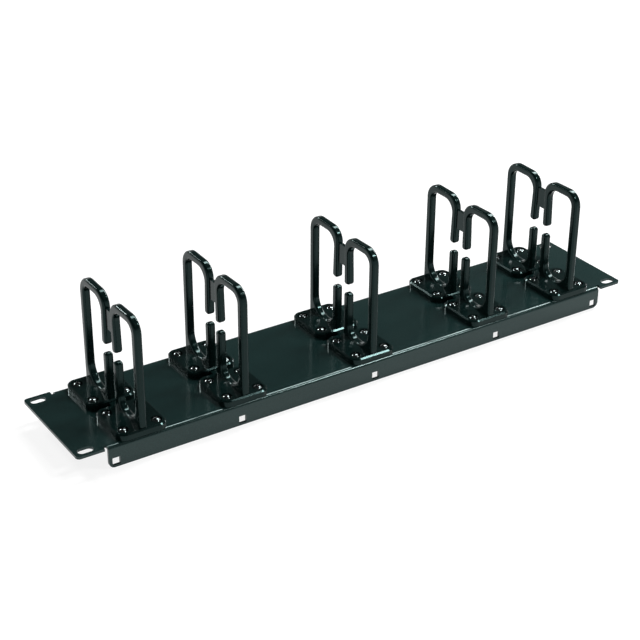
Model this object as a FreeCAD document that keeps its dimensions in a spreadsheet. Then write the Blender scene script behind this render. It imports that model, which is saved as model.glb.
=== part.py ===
# Horizontal cable manager, 2U, for a 19 inch rack: a black steel channel panel that carries
# five double cable rings of moulded plastic, each ring foot held by four screws and nuts.
#
# Frame: X runs along the panel, Y up the rack, +Z out of the front of the rack.
# The origin is under the middle of the panel, level with the edges of its two flanges,
# so the part also stands on those edges.

import FreeCAD, Part
import math
import os
import Sketcher

# ---------------------------------------------------------------- driving dimensions, mm

SIZES = [
    # steel panel
    ("panel_length", 482.6, "over both ears, the 19 inch standard"),
    ("panel_height", 88.1, "up the rack, two units less clearance"),
    ("sheet_gauge", 2.0, "steel sheet"),
    ("ear_width", 22.8, "end of the panel to the end of a flange"),
    ("flange_depth", 17.0, "front face to the edge of a flange"),
    ("bend_inside", 1.0, "inside radius of the bends"),
    ("relief_width", 2.4, "notch between ear and flange"),
    ("relief_depth", 4.0, "the same notch, from the long edge"),
    ("ear_corner", 3.0, "radius of the four corners of the panel"),
    ("flange_corner", 4.5, "radius of the free corners of a flange"),
    ("slot_length", 11.5, "rack slot, end to end"),
    ("slot_width", 6.8, "rack slot"),
    ("slot_end", 8.75, "centre of a rack slot from the end of the panel"),
    ("slot_edge", 5.95, "centre of a rack slot from the long edge"),
    ("square_side", 5.8, "square holes in the flanges"),
    ("square_rise", 4.6, "centre of a square hole above the flange edge"),
    ("square_end", 5.5, "first square hole from the end of the flange"),
    ("square_step", 99.0, "first to second square hole"),
    # places of the double rings
    ("ring_end", 28.1, "first double ring from the end of the flange"),
    ("ring_step", 80.9, "first to second double ring"),
    # foot of a ring
    ("foot_width", 38.0, "along the panel"),
    ("foot_margin", 0.65, "outer edge of a foot from the long edge of the panel"),
    ("foot_gap", 6.0, "between the two feet of a double ring"),
    ("foot_thick", 5.0, "height of a foot"),
    ("foot_corner", 6.5, "corner radius of a foot"),
    ("foot_bevel", 1.0, "bevel round the top of a foot"),
    ("bridge_width", 8.0, "bar that joins the two feet"),
    ("bridge_drop", 1.6, "top of that bar below the top of the feet"),
    # the ring on it
    ("ring_height", 87.8, "outer end of the top bar above the panel"),
    ("top_fall", 0.8, "fall of the top bar towards its hook"),
    ("post_inset", 0.55, "outer face of the outer post from the bevel of its foot"),
    ("bar_thick", 6.0, "every bar of the ring, along the panel"),
    ("post_width", 6.0, "outer post, in the plane of the ring"),
    ("top_bar", 6.3, "height of the top bar at its outer end"),
    ("throat", 8.4, "between the roots of the two hooks"),
    ("hook_root", 5.3, "width of a hook where it leaves the bend"),
    ("hook_end", 6.1, "width of a hook at its tip"),
    ("hook_lean", 0.5, "how far a tip leans into its window"),
    ("tip_height", 47.2, "low side of a hook's tip above the panel"),
    ("tip_slant", 1.2, "rise of the tip towards the window"),
    ("mouth_gap", 6.3, "from a tip down to the lower post"),
    ("lower_inset", 0.6, "lower post from the bevel of its foot"),
    ("lower_width", 6.0, "lower post, in the plane of the ring"),
    ("lower_slant", 0.6, "fall of its top towards the window"),
    ("post_bend", 12.0, "outer radius of the bend over the outer post"),
    ("hook_bend", 11.0, "outer radius of the bend over the hook"),
    ("post_corner", 6.5, "radius of the window's corner at the outer post"),
    ("hook_corner", 9.0, "radius of the window's corner at the hook"),
    ("valley_inner", 9.0, "fillet at the root of the lower post"),
    ("valley_flat", 3.0, "flat between that fillet and the one at the outer post"),
    ("rib_rise", 1.2, "floor of the window above the foot"),
    ("edge_round", 1.8, "rounding of every long edge of the ring"),
    ("tip_round", 2.4, "rounding of the tips of hooks and lower posts"),
    ("web_thick", 2.8, "web that ties the two hooks together"),
    ("web_drop", 11.3, "upper edge of the web below the top of the ring"),
    ("web_tall", 15.3, "web, from edge to edge"),
    ("web_bite", 1.8, "how far the web runs into each hook"),
    # screws and nuts
    ("screw_inset_long", 6.35, "screw from the side of its foot, along the panel"),
    ("screw_inset_up", 7.4, "screw from the edges of its foot, up the rack"),
    ("screw_shank", 4.0, "M4 screw"),
    ("shank_gap", 0.15, "clearance round the shank, on the radius"),
    ("head_width", 7.0, "pan head"),
    ("head_height", 2.5, "pan head"),
    ("head_dome", 1.6, "rounding of the head"),
    ("seat_gap", 0.6, "clearance round the head in its seat, on the radius"),
    ("seat_depth", 1.7, "sunk seat in the foot"),
    ("nut_flats", 7.0, "hexagon nut over its flats"),
    ("nut_height", 3.2, "hexagon nut"),
    ("shank_proud", 1.0, "end of the screw beyond the nut"),
]

CLOSE = 0.02   # two places this near count as one when edges are picked

doc = FreeCAD.newDocument("horizontal_cable_manager")
sizes = doc.addObject("Spreadsheet::Sheet", "sizes")
for line, (alias, value, note) in enumerate(SIZES, start=1):
    sizes.set("A%d" % line, alias)
    sizes.set("B%d" % line, str(value))
    sizes.set("C%d" % line, note)
    sizes.setAlias("B%d" % line, alias)
doc.recompute()


# ---------------------------------------------------------------- helpers

def formula(text):
    """The same text with every size name pointed at the sheet."""
    for alias in sorted((entry[0] for entry in SIZES), key=len, reverse=True):
        text = text.replace(alias, "sizes." + alias.upper())
    for alias in (entry[0] for entry in SIZES):
        text = text.replace("sizes." + alias.upper(), "sizes." + alias)
    return text


def value_of(text):
    return float(sizes.evalExpression(formula(text)))


def bind(feature, prop, text):
    feature.setExpression(prop, formula(text))


def new_body(name):
    body = doc.addObject("PartDesign::Body", name)
    body.Label = name
    body.AllowCompound = True
    return body


def origin_plane(body, role):
    return next(item for item in body.Origin.OriginFeatures if item.Role == role)


def new_sketch(body, name, role, lift=None):
    """A sketch on one of the body's origin planes, raised along the plane's normal by lift."""
    sketch = body.newObject("Sketcher::SketchObject", name)
    sketch.AttachmentSupport = [(origin_plane(body, role), "")]
    sketch.MapMode = "FlatFace"
    if lift is not None:
        bind(sketch, "AttachmentOffset.Base.z", lift)
    return sketch


def pin(sketch, item, end, across, up):
    """Holds one point of the sketch at two formulas, measured from the origin."""
    for kind, text in (("DistanceX", across), ("DistanceY", up)):
        if abs(value_of(text)) < 1e-9 and text == "0":
            other = -2 if kind == "DistanceX" else -1
            sketch.addConstraint(Sketcher.Constraint("PointOnObject", item, end, other))
            continue
        row = sketch.addConstraint(
            Sketcher.Constraint(kind, -1, 1, item, end, value_of(text)))
        sketch.setExpression("Constraints[%d]" % row, formula(text))


def add_polygon(sketch, corners):
    """A closed outline through corners, each a pair of formulas."""
    points = [FreeCAD.Vector(value_of(a), value_of(b), 0) for a, b in corners]
    first = sketch.GeometryCount
    count = len(points)
    for i in range(count):
        sketch.addGeometry(Part.LineSegment(points[i], points[(i + 1) % count]), False)
    for i in range(count):
        follower = first + (i + 1) % count
        sketch.addConstraint(Sketcher.Constraint("Coincident", first + i, 2, follower, 1))
    for i, (across, up) in enumerate(corners):
        pin(sketch, first + i, 1, across, up)


def add_box(sketch, across, up, width, height):
    """A rectangle about a centre, all four as formulas."""
    left, right = "%s - (%s) / 2" % (across, width), "%s + (%s) / 2" % (across, width)
    low, high = "%s - (%s) / 2" % (up, height), "%s + (%s) / 2" % (up, height)
    add_polygon(sketch, [(left, low), (right, low), (right, high), (left, high)])


def add_circle(sketch, across, up, width):
    centre = FreeCAD.Vector(value_of(across), value_of(up), 0)
    radius = value_of(width) / 2
    item = sketch.addGeometry(Part.Circle(centre, FreeCAD.Vector(0, 0, 1), radius), False)
    row = sketch.addConstraint(Sketcher.Constraint("Diameter", item, 2 * radius))
    sketch.setExpression("Constraints[%d]" % row, formula(width))
    pin(sketch, item, 3, across, up)


def add_slot(sketch, across, up, length, width):
    """An oblong hole along the sketch's X axis."""
    reach = "((%s) - (%s)) / 2" % (length, width)
    radius = value_of(width) / 2
    ends = []
    for side, start in ((1, -math.pi / 2), (-1, math.pi / 2)):
        centre = "%s + %d * %s" % (across, side, reach)
        circle = Part.Circle(
            FreeCAD.Vector(value_of(centre), value_of(up), 0), FreeCAD.Vector(0, 0, 1), radius)
        arc = sketch.addGeometry(Part.ArcOfCircle(circle, start, start + math.pi), False)
        pin(sketch, arc, 3, centre, up)
        ends.append((arc, circle.Center))
    (right, at_right), (left, at_left) = ends
    rise = FreeCAD.Vector(0, radius, 0)
    top = sketch.addGeometry(Part.LineSegment(at_right + rise, at_left + rise), False)
    foot = sketch.addGeometry(Part.LineSegment(at_left - rise, at_right - rise), False)
    for a, a_end, b, b_end in ((right, 2, top, 1), (top, 2, left, 1),
                               (left, 2, foot, 1), (foot, 2, right, 1)):
        sketch.addConstraint(Sketcher.Constraint("Tangent", a, a_end, b, b_end))
    row = sketch.addConstraint(Sketcher.Constraint("Radius", right, radius))
    sketch.setExpression("Constraints[%d]" % row, formula("(%s) / 2" % width))


def pad(body, sketch, name, length, both_ways=False, downwards=False):
    feature = body.newObject("PartDesign::Pad", name)
    feature.Profile = sketch
    bind(feature, "Length", length)
    feature.Midplane = both_ways
    feature.Reversed = downwards
    doc.recompute()
    return feature


def pocket(body, sketch, name, length, both_ways=False, upwards=False):
    before = body.Shape.Volume
    feature = body.newObject("PartDesign::Pocket", name)
    feature.Profile = sketch
    bind(feature, "Length", length)
    feature.Midplane = both_ways
    feature.Reversed = upwards
    doc.recompute()
    if body.Shape.Volume > before - 1e-3:
        raise RuntimeError(name + " cuts nothing")
    return feature


def dress(body, kind, name, chosen, prop, size):
    """A fillet or chamfer on the edges for which chosen(edge) holds."""
    base = body.Tip
    names = ["Edge%d" % (i + 1) for i, edge in enumerate(base.Shape.Edges) if chosen(edge)]
    if not names:
        raise RuntimeError(name + " finds no edge")
    feature = body.newObject(kind, name)
    feature.Base = (base, names)
    bind(feature, prop, size)
    doc.recompute()
    if feature.Shape.isNull() or not feature.Shape.isValid():
        raise RuntimeError(name + " fails")
    return feature


def fillet(body, name, chosen, size):
    return dress(body, "PartDesign::Fillet", name, chosen, "Radius", size)


def chamfer(body, name, chosen, size):
    return dress(body, "PartDesign::Chamfer", name, chosen, "Size", size)


def runs_along(edge, axis):
    if edge.Curve.TypeId != "Part::GeomLine":
        return False
    way = edge.Curve.Direction
    return abs(abs((way.x, way.y, way.z)[axis]) - 1) < 1e-6


def middle(edge):
    box = edge.BoundBox
    return box.Center


def near(a, b):
    return abs(a - b) < CLOSE


def corner_edges(spots, axis):
    """Chooses the edges along an axis that pass through one of the spots of the other two."""
    def chosen(edge):
        if not runs_along(edge, axis):
            return False
        at = middle(edge)
        here = [at.x, at.y, at.z]
        del here[axis]
        return any(near(here[0], a) and near(here[1], b) for a, b in spots)
    return chosen


def both_sides(*formulas):
    """Each formula's value with both signs."""
    return [sign * value_of(text) for text in formulas for sign in (1, -1)]


# ---------------------------------------------------------------- places that repeat

FLANGE_END = "(panel_length / 2 - ear_width)"
FIRST_RING = "(%s - ring_end)" % FLANGE_END
SECOND_RING = "(%s - ring_step)" % FIRST_RING
RINGS = [("1", "0 - " + FIRST_RING), ("2", "0 - " + SECOND_RING), ("3", "0"),
         ("4", SECOND_RING), ("5", FIRST_RING)]
HALVES = [("upper", "1"), ("lower", "-1")]

FOOT_INNER = "(foot_gap / 2)"
FOOT_OUTER = "(panel_height / 2 - foot_margin)"


def screw_places(ring_at, half):
    """The four screws of one foot, as formulas from the middle of the panel."""
    columns = ["%s + %d * (foot_width / 2 - screw_inset_long)" % (ring_at, side)
               for side in (-1, 1)]
    rows = [FOOT_INNER + " + screw_inset_up", FOOT_OUTER + " - screw_inset_up"]
    return [(column, "%s * (%s)" % (half, row)) for column in columns for row in rows]


# ---------------------------------------------------------------- panel

def make_panel():
    body = new_body("panel")
    half_up = value_of("panel_height / 2")
    half_long = value_of("panel_length / 2")
    half_flange = value_of(FLANGE_END)
    top = value_of("flange_depth")
    gauge = value_of("sheet_gauge")

    section = new_sketch(body, "channel_section", "YZ_Plane")
    add_polygon(section, [
        ("0 - panel_height / 2", "0"),
        ("0 - panel_height / 2", "flange_depth"),
        ("panel_height / 2", "flange_depth"),
        ("panel_height / 2", "0"),
        ("panel_height / 2 - sheet_gauge", "0"),
        ("panel_height / 2 - sheet_gauge", "flange_depth - sheet_gauge"),
        ("0 - panel_height / 2 + sheet_gauge", "flange_depth - sheet_gauge"),
        ("0 - panel_height / 2 + sheet_gauge", "0")])
    pad(body, section, "channel", "2 * " + FLANGE_END, both_ways=True)
    fillet(body, "outer_bends",
           corner_edges([(half_up, top), (-half_up, top)], 0), "bend_inside + sheet_gauge")
    fillet(body, "inner_bends",
           corner_edges([(half_up - gauge, top - gauge), (gauge - half_up, top - gauge)], 0),
           "bend_inside")
    fillet(body, "flange_corners",
           lambda edge: runs_along(edge, 1) and near(middle(edge).z, 0)
           and near(abs(middle(edge).x), half_flange), "flange_corner")

    face = new_sketch(body, "face_outline", "XY_Plane", "flange_depth")
    neck = FLANGE_END + " + relief_width"
    waist = "panel_height / 2 - relief_depth"
    right_ear = [(neck, "panel_height / 2"), ("panel_length / 2", "panel_height / 2")]
    quarter = [("0 + " + neck, "0 + " + waist)] + right_ear
    outline = quarter + [(a, "0 - (%s)" % b) for a, b in reversed(quarter)]
    outline += [("0 - (%s)" % a, b) for a, b in reversed(outline)]
    add_polygon(face, outline)
    pad(body, face, "face_and_ears", "sheet_gauge", downwards=True)
    fillet(body, "ear_corners",
           lambda edge: runs_along(edge, 2) and near(abs(middle(edge).x), half_long),
           "ear_corner")

    slots = new_sketch(body, "rack_slots_outline", "XY_Plane", "flange_depth")
    for a in (-1, 1):
        for b in (-1, 1):
            add_slot(slots, "%d * (panel_length / 2 - slot_end)" % a,
                     "%d * (panel_height / 2 - slot_edge)" % b, "slot_length", "slot_width")
    pocket(body, slots, "rack_slots", "sheet_gauge")

    squares = new_sketch(body, "square_outline", "XZ_Plane")
    first = "(%s - square_end)" % FLANGE_END
    second = "(%s - square_step)" % first
    for place in ("0", second, "0 - " + second, first, "0 - " + first):
        add_box(squares, place, "square_rise", "square_side", "square_side")
    pocket(body, squares, "square_holes", "panel_height", both_ways=True)

    holes = new_sketch(body, "screw_hole_outline", "XY_Plane", "flange_depth")
    for _, ring_at in RINGS:
        for _, half in HALVES:
            for across, up in screw_places(ring_at, half):
                add_circle(holes, across, up, "screw_shank + 2 * shank_gap")
    pocket(body, holes, "screw_holes", "sheet_gauge")
    return body


# ---------------------------------------------------------------- double ring

POST_OUTER = "(%s - foot_bevel - post_inset)" % FOOT_OUTER
POST_INNER = "(%s - post_width)" % POST_OUTER
LOWER_INNER = "(%s + foot_bevel + lower_inset)" % FOOT_INNER
LOWER_OUTER = "(%s + lower_width)" % LOWER_INNER
LOWER_HEIGHT = "(tip_height - mouth_gap)"
ROOF = "(ring_height - top_bar)"
FLOOR = "(foot_thick + rib_rise)"
VALLEY_OUTER = "%s - %s - valley_inner - valley_flat" % (POST_INNER, LOWER_OUTER)


def ring_outline(half):
    """Foot floor, outer post, top bar, hook and lower post of one ring, seen along the panel."""
    tip_in = "throat / 2 + hook_lean"
    corners = [
        (POST_OUTER, "0"), (POST_OUTER, "ring_height"),
        ("throat / 2", "ring_height - top_fall"), (tip_in, "tip_height"),
        (tip_in + " + hook_end", "tip_height + tip_slant"),
        ("throat / 2 + hook_root", ROOF), (POST_INNER, ROOF), (POST_INNER, FLOOR),
        (LOWER_OUTER, FLOOR), (LOWER_OUTER, LOWER_HEIGHT + " - lower_slant"),
        (LOWER_INNER, LOWER_HEIGHT), (LOWER_INNER, "0")]
    return [("%s * (%s)" % (half, a), b) for a, b in corners]


def make_double_ring(number, ring_at):
    body = new_body("double_ring_" + number)
    half_bar = value_of("bar_thick / 2")

    rings = new_sketch(body, "rings_outline_" + number, "YZ_Plane")
    for _, half in HALVES:
        add_polygon(rings, ring_outline(half))
    pad(body, rings, "rings_" + number, "bar_thick", both_ways=True)

    def spots(*rows):
        """The corners of the outline with these numbers, on both rings."""
        found = []
        for _, half in HALVES:
            outline = ring_outline(half)
            found += [(value_of(outline[row][0]), value_of(outline[row][1])) for row in rows]
        return found

    for name, rows, size in (
            ("post_bends", (1,), "post_bend"),
            ("hook_bends", (2,), "hook_bend"),
            ("hook_corners", (5,), "hook_corner"),
            ("post_corners", (6,), "post_corner"),
            ("outer_valleys", (7,), VALLEY_OUTER),
            ("inner_valleys", (8,), "valley_inner"),
            ("tips", (3, 4, 9, 10), "tip_round")):
        fillet(body, "%s_%s" % (name, number), corner_edges(spots(*rows), 0), size)

    def on_ring_side(edge):
        box = edge.BoundBox
        flat = near(box.XMin, box.XMax) and near(abs(box.XMin), half_bar)
        return flat and not near(box.ZMax, 0)
    fillet(body, "ring_edges_" + number, on_ring_side, "edge_round")

    web = new_sketch(body, "web_outline_" + number, "YZ_Plane")
    add_box(web, "0", "ring_height - web_drop - web_tall / 2", "throat + 2 * web_bite",
            "web_tall")
    pad(body, web, "web_" + number, "web_thick", both_ways=True)

    feet = new_sketch(body, "feet_outline_" + number, "XY_Plane")
    for _, half in HALVES:
        add_box(feet, "0", "%s * (%s + %s) / 2" % (half, FOOT_INNER, FOOT_OUTER), "foot_width",
                "%s - %s" % (FOOT_OUTER, FOOT_INNER))
    pad(body, feet, "feet_" + number, "foot_thick")
    across = both_sides("foot_width / 2")
    up = both_sides(FOOT_INNER, FOOT_OUTER)
    fillet(body, "foot_corners_" + number,
           corner_edges([(a, b) for a in across for b in up], 2), "foot_corner")

    top = value_of("foot_thick")
    inset = value_of("foot_corner") + CLOSE
    wide = value_of("foot_width / 2")
    near_line, far_line = value_of(FOOT_INNER), value_of(FOOT_OUTER)

    def on_foot_rim(edge):
        box = edge.BoundBox
        if not (near(box.ZMin, top) and near(box.ZMax, top)):
            return False
        at = box.Center
        side = near(abs(at.x), wide)
        end = near(abs(at.y), near_line) or near(abs(at.y), far_line)
        bend = (edge.Curve.TypeId == "Part::GeomCircle" and abs(at.x) > wide - inset
                and (abs(at.y) < near_line + inset or abs(at.y) > far_line - inset))
        return side or end or bend
    chamfer(body, "foot_bevels_" + number, on_foot_rim, "foot_bevel")

    bridge = new_sketch(body, "bridge_outline_" + number, "XY_Plane")
    add_box(bridge, "0", "0", "bridge_width", "foot_gap + 2 * foot_bevel")
    pad(body, bridge, "bridge_" + number, "foot_thick - bridge_drop")

    for name, width, depth, lift in (
            ("head_seats", "head_width + 2 * seat_gap", "seat_depth", "foot_thick"),
            ("shank_holes", "screw_shank + 2 * shank_gap", "foot_thick", "foot_thick")):
        holes = new_sketch(body, "%s_outline_%s" % (name, number), "XY_Plane", lift)
        for _, half in HALVES:
            for spot in screw_places("0", half):
                add_circle(holes, spot[0], spot[1], width)
        pocket(body, holes, "%s_%s" % (name, number), depth)

    bind(body, "Placement.Base.x", ring_at)
    bind(body, "Placement.Base.z", "flange_depth")
    return body


# ---------------------------------------------------------------- screws and nuts

SEAT_LEVEL = "flange_depth + foot_thick - seat_depth"
NUT_FACE = "flange_depth - sheet_gauge"


def make_screws(name, ring_at, half):
    body = new_body(name)
    heads = new_sketch(body, name + "_head_outline", "XY_Plane", SEAT_LEVEL)
    shanks = new_sketch(body, name + "_shank_outline", "XY_Plane", SEAT_LEVEL)
    for across, up in screw_places(ring_at, half):
        add_circle(heads, across, up, "head_width")
        add_circle(shanks, across, up, "screw_shank")
    pad(body, heads, name + "_heads", "head_height")
    crown = value_of(SEAT_LEVEL + " + head_height")
    fillet(body, name + "_domes", lambda edge: near(edge.BoundBox.ZMin, crown), "head_dome")
    reach = "foot_thick - seat_depth + sheet_gauge + nut_height + shank_proud"
    pad(body, shanks, name + "_shanks", reach, downwards=True)
    return body


def make_nuts(name, ring_at, half):
    body = new_body(name)
    outline = new_sketch(body, name + "_outline", "XY_Plane", NUT_FACE)
    for across, up in screw_places(ring_at, half):
        arm = "nut_flats / 2 / cos(30 deg)"
        add_polygon(outline, [
            ("%s + %s * cos(%d deg)" % (across, arm, turn), "%s + %s * sin(%d deg)" % (up, arm, turn))
            for turn in range(30, 390, 60)])
        add_circle(outline, across, up, "screw_shank")
    pad(body, outline, name + "_hexagons", "nut_height", downwards=True)
    return body


# ---------------------------------------------------------------- build, check, write

parts = [make_panel()]
for number, ring_at in RINGS:
    parts.append(make_double_ring(number, ring_at))
    for side, half in HALVES:
        parts.append(make_screws("screws_%s_%s" % (number, side), ring_at, half))
        parts.append(make_nuts("nuts_%s_%s" % (number, side), ring_at, half))
doc.recompute()

for item in doc.Objects:
    if "Invalid" in item.State or "Error" in item.State:
        raise RuntimeError("%s failed: %s" % (item.Name, item.State))
for body in parts:
    if body.Shape.isNull() or not body.Shape.isValid():
        raise RuntimeError(body.Label + " has no valid shape")

os.makedirs("parts", exist_ok=True)
for body in parts:
    body.Shape.exportStep("parts/%s.step" % body.Label)
    print("%-18s %d solid(s), %.1f mm3" % (body.Label, len(body.Shape.Solids), body.Shape.Volume))
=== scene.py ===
# Looks of a two-unit horizontal cable manager: black powder-coated panel, glossy moulded
# double cable rings, and their screws and nuts. Metres, +Z out of the front of the panel.

import math

import bmesh
import bpy
from mathutils import Matrix, Vector


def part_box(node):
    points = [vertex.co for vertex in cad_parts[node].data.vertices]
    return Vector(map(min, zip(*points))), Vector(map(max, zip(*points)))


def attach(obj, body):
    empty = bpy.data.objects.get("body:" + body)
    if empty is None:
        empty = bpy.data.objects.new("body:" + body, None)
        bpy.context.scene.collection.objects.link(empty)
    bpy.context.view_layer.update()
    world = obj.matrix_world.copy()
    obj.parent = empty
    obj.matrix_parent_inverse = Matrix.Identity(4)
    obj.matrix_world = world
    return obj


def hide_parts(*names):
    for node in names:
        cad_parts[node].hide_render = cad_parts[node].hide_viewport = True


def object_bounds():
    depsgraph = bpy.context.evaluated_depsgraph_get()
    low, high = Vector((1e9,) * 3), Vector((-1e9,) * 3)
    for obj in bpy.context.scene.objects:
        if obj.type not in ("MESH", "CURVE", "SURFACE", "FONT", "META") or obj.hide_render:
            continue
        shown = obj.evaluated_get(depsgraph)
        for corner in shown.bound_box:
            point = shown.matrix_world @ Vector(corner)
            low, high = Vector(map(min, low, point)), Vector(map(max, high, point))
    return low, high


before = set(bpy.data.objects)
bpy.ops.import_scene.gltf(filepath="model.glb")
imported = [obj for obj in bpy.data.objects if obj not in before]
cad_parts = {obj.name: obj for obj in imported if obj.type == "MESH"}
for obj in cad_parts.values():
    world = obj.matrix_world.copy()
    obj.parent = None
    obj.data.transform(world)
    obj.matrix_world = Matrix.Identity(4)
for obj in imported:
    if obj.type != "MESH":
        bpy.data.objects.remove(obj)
cad_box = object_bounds()

MM = 0.001
BODY = "root"
RING_NUMBERS = range(1, 6)
FEET = ("upper", "lower")


# ---------------------------------------------------------------- materials

NOISE_SPAN = (0.3, 0.7)      # holds nearly all the values of a noise


def new_material(name):
    material = bpy.data.materials.new(name)
    material.use_nodes = True
    tree = material.node_tree
    return material, tree, tree.nodes["Principled BSDF"]


def millimetres(tree):
    """Object coordinates with a millimetre as the unit."""
    place = tree.nodes.new("ShaderNodeTexCoord")
    mapping = tree.nodes.new("ShaderNodeMapping")
    mapping.inputs["Scale"].default_value = [1 / MM] * 3
    tree.links.new(place.outputs["Object"], mapping.inputs["Vector"])
    return mapping.outputs["Vector"]


def noise(tree, where, scale, detail, roughness):
    """Noise from 0 to 1; scale is how often it repeats in a millimetre."""
    node = tree.nodes.new("ShaderNodeTexNoise")
    node.inputs["Scale"].default_value = scale
    node.inputs["Detail"].default_value = detail
    node.inputs["Roughness"].default_value = roughness
    tree.links.new(where, node.inputs["Vector"])
    return node.outputs["Fac"]


def ramp(tree, value, stops):
    """A colour ramp through (position, colour) pairs."""
    node = tree.nodes.new("ShaderNodeValToRGB")
    elements = node.color_ramp.elements
    while len(elements) < len(stops):
        elements.new(0.5)
    for element, (position, colour) in zip(elements, stops):
        element.position = position
        element.color = (*colour, 1.0)
    tree.links.new(value, node.inputs["Fac"])
    return node.outputs["Color"]


def remap(tree, value, source, target):
    """value, with the range source (low, high) stretched onto the range target."""
    node = tree.nodes.new("ShaderNodeMapRange")
    for socket, limit in zip(("From Min", "From Max", "To Min", "To Max"), (*source, *target)):
        node.inputs[socket].default_value = limit
    tree.links.new(value, node.inputs["Value"])
    return node.outputs["Result"]


def bump(tree, shader, height, strength, distance):
    node = tree.nodes.new("ShaderNodeBump")
    node.inputs["Strength"].default_value = strength
    node.inputs["Distance"].default_value = distance
    tree.links.new(height, node.inputs["Height"])
    tree.links.new(node.outputs["Normal"], shader.inputs["Normal"])


def surface(name, grain, colours, cloud, roughness, constants, relief=None):
    """A material whose colour follows one noise, grain, and its roughness another, cloud.

    Each noise is (scale, detail, roughness). roughness is the lowest and the highest value,
    constants are plain values for the shader's sockets, and relief is the noise, strength
    and depth in metres of a bump.
    """
    material, tree, shader = new_material(name)
    where = millimetres(tree)
    tree.links.new(ramp(tree, noise(tree, where, *grain), colours),
                   shader.inputs["Base Color"])
    tree.links.new(remap(tree, noise(tree, where, *cloud), NOISE_SPAN, roughness),
                   shader.inputs["Roughness"])
    for socket, value in constants.items():
        shader.inputs[socket].default_value = value
    if relief:
        pattern, strength, depth = relief
        bump(tree, shader, noise(tree, where, *pattern), strength, depth)
    return material


# Satin black powder coat with a cool cast: a fine orange peel with paler specks.
POWDER_COAT = surface(
    "powder_coat",
    grain=(1.3, 4.0, 0.75),
    colours=[(0.30, (0.0035, 0.0125, 0.0120)),
             (0.55, (0.0060, 0.0190, 0.0180)),
             (0.78, (0.0140, 0.0330, 0.0320))],
    cloud=(0.02, 2.0, 0.5),
    roughness=(0.15, 0.19),
    constants={"Specular IOR Level": 0.50, "Specular Tint": (0.72, 1.0, 0.98, 1)},
    relief=((0.9, 3.0, 0.6), 0.12, 0.00005))

# Black moulded plastic, glossy, with a very faint grain.
RING_PLASTIC = surface(
    "ring_plastic",
    grain=(0.5, 3.0, 0.6),
    colours=[(0.3, (0.0015, 0.0060, 0.0056)), (0.7, (0.0030, 0.0095, 0.0090))],
    cloud=(0.08, 2.0, 0.5),
    roughness=(0.13, 0.17),
    constants={"Specular IOR Level": 0.22, "Specular Tint": (0.60, 1.0, 0.97, 1)},
    relief=((1.2, 2.0, 0.5), 0.06, 0.00004))

# Blackened steel of the screws, polished by the driver in patches.
BLACK_OXIDE = surface(
    "black_oxide",
    grain=(0.8, 3.0, 0.6),
    colours=[(0.3, (0.10, 0.12, 0.12)), (0.7, (0.17, 0.20, 0.20))],
    cloud=(1.5, 2.0, 0.5),
    roughness=(0.12, 0.20),
    constants={"Metallic": 1.0})

# Bright zinc of the nuts behind the panel.
ZINC_PLATE = surface(
    "zinc_plate",
    grain=(0.9, 3.0, 0.6),
    colours=[(0.3, (0.48, 0.49, 0.48)), (0.7, (0.62, 0.63, 0.62))],
    cloud=(0.6, 2.0, 0.5),
    roughness=(0.25, 0.42),
    constants={"Metallic": 1.0})


def paint(obj, material):
    obj.data.materials.clear()
    obj.data.materials.append(material)


paint(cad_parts["panel"], POWDER_COAT)
for number in RING_NUMBERS:
    paint(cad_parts["double_ring_%d" % number], RING_PLASTIC)


# ---------------------------------------------------------------- screws and nuts

# In millimetres and degrees. A screw's own zero is on its axis at the seat of its head,
# and a nut's is at its centre.
HEAD_RADIUS = 3.5
HEAD_HEIGHT = 2.5
RIM_HEIGHT = 0.25            # where the head's straight side meets its dome
RIM_CHAMFER = 0.1
DOME_RADIUS = 3.85
DOME_REACH = 64
DOME_STEPS = 9
RECESS_HALF_SPAN = 2.1
RECESS_HALF_ARM = 0.5
RECESS_DEPTH = 1.5
RECESS_TAPER = (0.45, 0.7, 1.0)   # bottom of an arm as a share of its top
RECESS_CLEAR = 1.0           # how far the cutting tool stands out of the head
SHANK_RADIUS = 2.0
ROOT_RADIUS = 1.65
SHANK_LENGTH = 9.5
SHANK_BITE = 0.2             # how far the shank runs up into the head
POINT_NARROWS = 0.35         # chamfer at the end of the shank
POINT_LENGTH = 0.3
THREAD_PITCH = 0.7
THREAD_TURNS = 9
THREAD_STEPS = 20
THREAD_START = 0.5           # first turn above the end of the shank
RIDGE_SINK = 0.15            # how far the ridge runs into the root
RIDGE_HALF_FOOT = 0.32
RIDGE_HALF_CREST = 0.04
NUT_FLATS = 7.0
NUT_CORNER = NUT_FLATS / math.sqrt(3)
NUT_HEIGHT = 3.2
TURNED_FLAT = 3.3            # radius left flat at the ends of a nut
TURNED_DEPTH = 0.45
TURNED_CLEAR = 0.05          # how far its cutting tool stands off the corners
BORE_GAP = 0.1               # bore of a nut over the root of the thread
SINK_GAP = 0.4               # mouth of its countersink over the shank
SINK_DEPTH = 0.35
SINK_CLEAR = 0.1             # how far its cutting tool stands out of the nut
ROUND_STEPS = 40
MERGE_WITHIN = 1e-4
CREASE = math.radians(32)
TURN_PER_RING = 37
TURN_OF_UPPER_FOOT = 19
SCREW_TURNS = (0, 52, 23, 71)     # the recesses of one foot point all ways


def revolve(profile, steps=ROUND_STEPS):
    """A closed round shape from (radius, height) pairs that start and end on the axis."""
    shape = bmesh.new()
    points = [shape.verts.new((radius, 0, height)) for radius, height in profile]
    edges = [shape.edges.new(pair) for pair in zip(points, points[1:])]
    bmesh.ops.spin(shape, geom=points + edges, cent=(0, 0, 0), axis=(0, 0, 1),
                   angle=math.tau, steps=steps, use_merge=True)
    bmesh.ops.remove_doubles(shape, verts=shape.verts, dist=MERGE_WITHIN)
    bmesh.ops.recalc_face_normals(shape, faces=shape.faces)
    return shape


def mirrored(upper_half):
    """The whole profile of a shape that is the same above and below its middle."""
    return upper_half + [(radius, -height) for radius, height in reversed(upper_half)]


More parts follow.
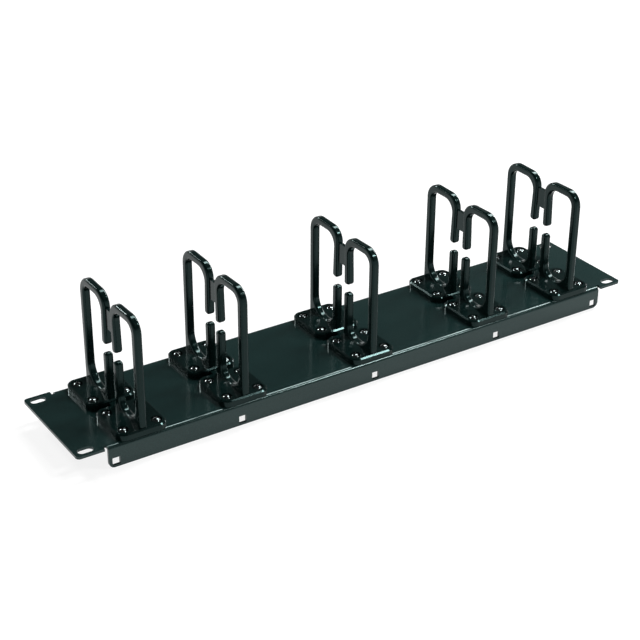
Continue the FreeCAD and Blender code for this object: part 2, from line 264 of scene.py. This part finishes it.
def turn_by(shape, verts, degrees):
    """Turn verts about the shape's own Z."""
    bmesh.ops.rotate(shape, verts=verts, cent=(0, 0, 0),
                     matrix=Matrix.Rotation(math.radians(degrees), 3, "Z"))


def as_object(shape, name):
    """shape as an object of the scene; shape is freed."""
    mesh = bpy.data.meshes.new(name)
    shape.to_mesh(mesh)
    shape.free()
    obj = bpy.data.objects.new(name, mesh)
    bpy.context.scene.collection.objects.link(obj)
    return obj


def absorb(shape, obj):
    """Add obj's mesh to shape, and delete obj."""
    shape.from_mesh(obj.data)
    bpy.data.objects.remove(obj)


def cut(obj, tool, operation):
    """Change obj by a Boolean with tool, which is deleted."""
    step = obj.modifiers.new(operation.lower(), "BOOLEAN")
    step.operation = operation
    step.solver = "EXACT"
    step.object = tool
    bpy.context.view_layer.update()
    graph = bpy.context.evaluated_depsgraph_get()
    mesh = bpy.data.meshes.new_from_object(obj.evaluated_get(graph))
    obj.modifiers.clear()
    obj.data = mesh
    bpy.data.objects.remove(tool)


def recess_arm(turn):
    """Cutting tool for one arm of the driver's cross, narrower towards its bottom."""
    height = RECESS_DEPTH + RECESS_CLEAR
    shape = bmesh.new()
    made = bmesh.ops.create_cube(shape, size=1.0)["verts"]
    bmesh.ops.scale(shape, verts=made, vec=(2 * RECESS_HALF_SPAN, 2 * RECESS_HALF_ARM, height))
    bmesh.ops.translate(shape, verts=made, vec=(0, 0, HEAD_HEIGHT - RECESS_DEPTH + height / 2))
    foot = [vert for vert in made if vert.co.z < HEAD_HEIGHT]
    bmesh.ops.scale(shape, verts=foot, vec=RECESS_TAPER)
    turn_by(shape, made, turn)
    return as_object(shape, "recess_arm")


def thread(shape):
    """Add a ridge that winds up the shank."""
    corners = [(ROOT_RADIUS - RIDGE_SINK, -RIDGE_HALF_FOOT), (SHANK_RADIUS, -RIDGE_HALF_CREST),
               (SHANK_RADIUS, RIDGE_HALF_CREST), (ROOT_RADIUS - RIDGE_SINK, RIDGE_HALF_FOOT)]
    start = -SHANK_LENGTH + THREAD_START
    section = shape.faces.new([shape.verts.new((radius, 0, start + height))
                               for radius, height in corners])
    bmesh.ops.spin(
        shape, geom=[section], cent=(0, 0, 0), axis=(0, 0, 1), angle=math.tau * THREAD_TURNS,
        dvec=(0, 0, THREAD_PITCH / THREAD_STEPS), steps=THREAD_TURNS * THREAD_STEPS)


def screw_master():
    """Pan-head screw with a cross recess and a threaded shank."""
    tilts = [math.radians(DOME_REACH * step / DOME_STEPS) for step in range(DOME_STEPS + 1)]
    dome = [(DOME_RADIUS * math.sin(tilt), HEAD_HEIGHT - DOME_RADIUS * (1 - math.cos(tilt)))
            for tilt in tilts]
    head = as_object(revolve([
        *dome, (HEAD_RADIUS, RIM_HEIGHT), (HEAD_RADIUS, RIM_CHAMFER),
        (HEAD_RADIUS - RIM_CHAMFER, 0), (0, 0)]), "screw_head")
    # One arm at a time: a tool that crosses itself would take the whole head away.
    for turn in (0, 90):
        cut(head, recess_arm(turn), "DIFFERENCE")
    shank = as_object(revolve([
        (0, SHANK_BITE), (ROOT_RADIUS, SHANK_BITE), (ROOT_RADIUS, -SHANK_LENGTH + POINT_LENGTH),
        (ROOT_RADIUS - POINT_NARROWS, -SHANK_LENGTH), (0, -SHANK_LENGTH)],
        THREAD_STEPS), "screw_shank")
    shape = bmesh.new()
    absorb(shape, head)
    absorb(shape, shank)
    thread(shape)
    bmesh.ops.recalc_face_normals(shape, faces=shape.faces)
    return shape


def nut_master():
    """Hexagon nut, its corners turned down at both ends, with a countersunk hole."""
    half = NUT_HEIGHT / 2
    prism = bmesh.new()
    bmesh.ops.create_cone(prism, cap_ends=True, segments=6, depth=NUT_HEIGHT,
                          radius1=NUT_CORNER, radius2=NUT_CORNER)
    nut = as_object(prism, "nut_prism")
    turning = revolve(mirrored([
        (0, half), (TURNED_FLAT, half), (NUT_CORNER + TURNED_CLEAR, half - TURNED_DEPTH)]))
    cut(nut, as_object(turning, "nut_turning"), "INTERSECT")
    hole = revolve(mirrored([
        (0, half + SINK_CLEAR), (SHANK_RADIUS + SINK_GAP, half + SINK_CLEAR),
        (ROOT_RADIUS + BORE_GAP, half - SINK_DEPTH)]))
    cut(nut, as_object(hole, "nut_hole"), "DIFFERENCE")
    shape = bmesh.new()
    absorb(shape, nut)
    return shape


def four_of(master, node, reach, height, turns, material):
    """Copies of master at the corners of a CAD group's box, reach in from its sides.

    height gives their zero from the box's low and high corner, and turns is one for each.
    """
    low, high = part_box(node)
    low, high = low / MM, high / MM
    single = bpy.data.meshes.new("single")
    master.to_mesh(single)
    shape = bmesh.new()
    places = [(x, y) for x in (low.x + reach[0], high.x - reach[0])
              for y in (low.y + reach[1], high.y - reach[1])]
    for (x, y), turn in zip(places, turns):
        before = len(shape.verts)
        shape.from_mesh(single)
        shape.verts.ensure_lookup_table()
        added = shape.verts[before:]
        turn_by(shape, added, turn)
        bmesh.ops.translate(shape, verts=added, vec=(x, y, height(low, high)))
    bmesh.ops.scale(shape, verts=shape.verts, vec=(MM, MM, MM))
    piece = as_object(shape, "detailed_" + node)
    piece.data.shade_smooth()
    piece.data.set_sharp_from_angle(angle=CREASE)
    paint(piece, material)
    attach(piece, BODY)
    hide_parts(node)


SCREW = screw_master()
NUT = nut_master()
for number in RING_NUMBERS:
    for foot in FEET:
        label = "%d_%s" % (number, foot)
        first_turn = TURN_PER_RING * number + (TURN_OF_UPPER_FOOT if foot == "upper" else 0)
        four_of(SCREW, "screws_" + label, (HEAD_RADIUS, HEAD_RADIUS),
                lambda low, high: high.z - HEAD_HEIGHT,
                [first_turn + turn for turn in SCREW_TURNS], BLACK_OXIDE)
        four_of(NUT, "nuts_" + label, (NUT_CORNER, NUT_FLATS / 2),
                lambda low, high: (low.z + high.z) / 2,
                [0, 0, 0, 0], ZINC_PLATE)


# ---------------------------------------------------------------- studio

LAMP_AIM = Vector((0, 0, 0.03))
LAMP_DISTANCE = 1.6
LAMPS = [
    # name, direction from the aim, length along X, width, power
    ("lamp_front", (0.50, -0.50, 0.72), 0.3, 0.12, 9),
    ("lamp_back", (0.57, 0.24, 0.80), 1.2, 0.40, 32),
    ("lamp_back_left", (-0.30, 0.80, 0.50), 0.25, 0.2, 9),
    ("lamp_low_right", (0.80, 0.20, 0.30), 0.2, 0.2, 7),
]
WORLD_WHITE_BELOW = 0.16     # height of a direction, 0 at the horizon and 1 straight up
WORLD_DIM_ABOVE = 0.42
CEILING_STRENGTH = 0.05
FLOOR_HALF_SIDE = 6.0
FLOOR_BELOW_PART = 0.0002
FLOOR_GREY = 0.22
FLOOR_GLOW = 0.85            # for the camera and for reflections, not for soft light


def area_lamp(name, towards, length, width, power):
    """A soft lamp that faces LAMP_AIM."""
    data = bpy.data.lights.new(name, "AREA")
    data.shape = "RECTANGLE"
    data.size = length
    data.size_y = width
    data.energy = power
    lamp = bpy.data.objects.new(name, data)
    back = Vector(towards).normalized()
    along = (Vector((1, 0, 0)) - back * back.x).normalized()
    turn = Matrix((along, back.cross(along), back)).transposed()
    lamp.matrix_world = Matrix.Translation(LAMP_AIM + back * LAMP_DISTANCE) @ turn.to_4x4()
    bpy.context.scene.collection.objects.link(lamp)


def seen_directly(tree):
    """1 for camera, mirror and glass rays, 0 for the rays that carry light onto surfaces."""
    path = tree.nodes.new("ShaderNodeLightPath")
    seen = path.outputs["Is Camera Ray"]
    for kind in ("Is Glossy Ray", "Is Transmission Ray"):
        either = tree.nodes.new("ShaderNodeMath")
        either.operation = "MAXIMUM"
        tree.links.new(seen, either.inputs[0])
        tree.links.new(path.outputs[kind], either.inputs[1])
        seen = either.outputs[0]
    return seen


def set_world():
    """A white sweep round the horizon under a dim ceiling, the same for every ray."""
    world = bpy.data.worlds.new("studio")
    bpy.context.scene.world = world
    world.use_nodes = True
    tree = world.node_tree
    background = tree.nodes["Background"]
    background.inputs["Color"].default_value = (1, 1, 1, 1)
    towards = tree.nodes.new("ShaderNodeTexCoord")
    parts = tree.nodes.new("ShaderNodeSeparateXYZ")
    tree.links.new(towards.outputs["Generated"], parts.inputs["Vector"])
    strength = remap(tree, parts.outputs["Z"], (WORLD_WHITE_BELOW, WORLD_DIM_ABOVE),
                     (1.0, CEILING_STRENGTH))
    tree.links.new(strength, background.inputs["Strength"])


def make_floor():
    """A pale floor under the flange edges that keeps the shadow."""
    shape = bmesh.new()
    bmesh.ops.create_grid(shape, x_segments=1, y_segments=1, size=FLOOR_HALF_SIDE)
    floor = as_object(shape, "floor")
    floor.location.z = cad_box[0][2] - FLOOR_BELOW_PART
    material, tree, shader = new_material("pale_floor")
    shader.inputs["Base Color"].default_value = (FLOOR_GREY, FLOOR_GREY, FLOOR_GREY, 1)
    shader.inputs["Roughness"].default_value = 1.0
    shader.inputs["Specular IOR Level"].default_value = 0.0
    shader.inputs["Emission Color"].default_value = (1, 1, 1, 1)
    tree.links.new(remap(tree, seen_directly(tree), (0, 1), (0.0, FLOOR_GLOW)),
                   shader.inputs["Emission Strength"])
    paint(floor, material)


def set_camera():
    """The viewing angle, from the left and above, that shows the whole panel."""
    data = bpy.data.cameras.new("camera")
    data.sensor_width = 36.0
    data.lens = 88.63
    camera = bpy.data.objects.new("camera", data)
    place = Vector((-0.58792, -0.86257, 0.59449))
    aim = Vector((-0.05603, -0.05399, 0.07172))
    roll = Matrix.Rotation(math.radians(0.402), 4, "Z")
    facing = (aim - place).to_track_quat("-Z", "Y").to_matrix().to_4x4()
    camera.matrix_world = Matrix.Translation(place) @ facing @ roll
    bpy.context.scene.collection.objects.link(camera)
    bpy.context.scene.camera = camera


for lamp in LAMPS:
    area_lamp(*lamp)
set_world()
make_floor()
set_camera()
bpy.context.scene.view_settings.view_transform = "Standard"
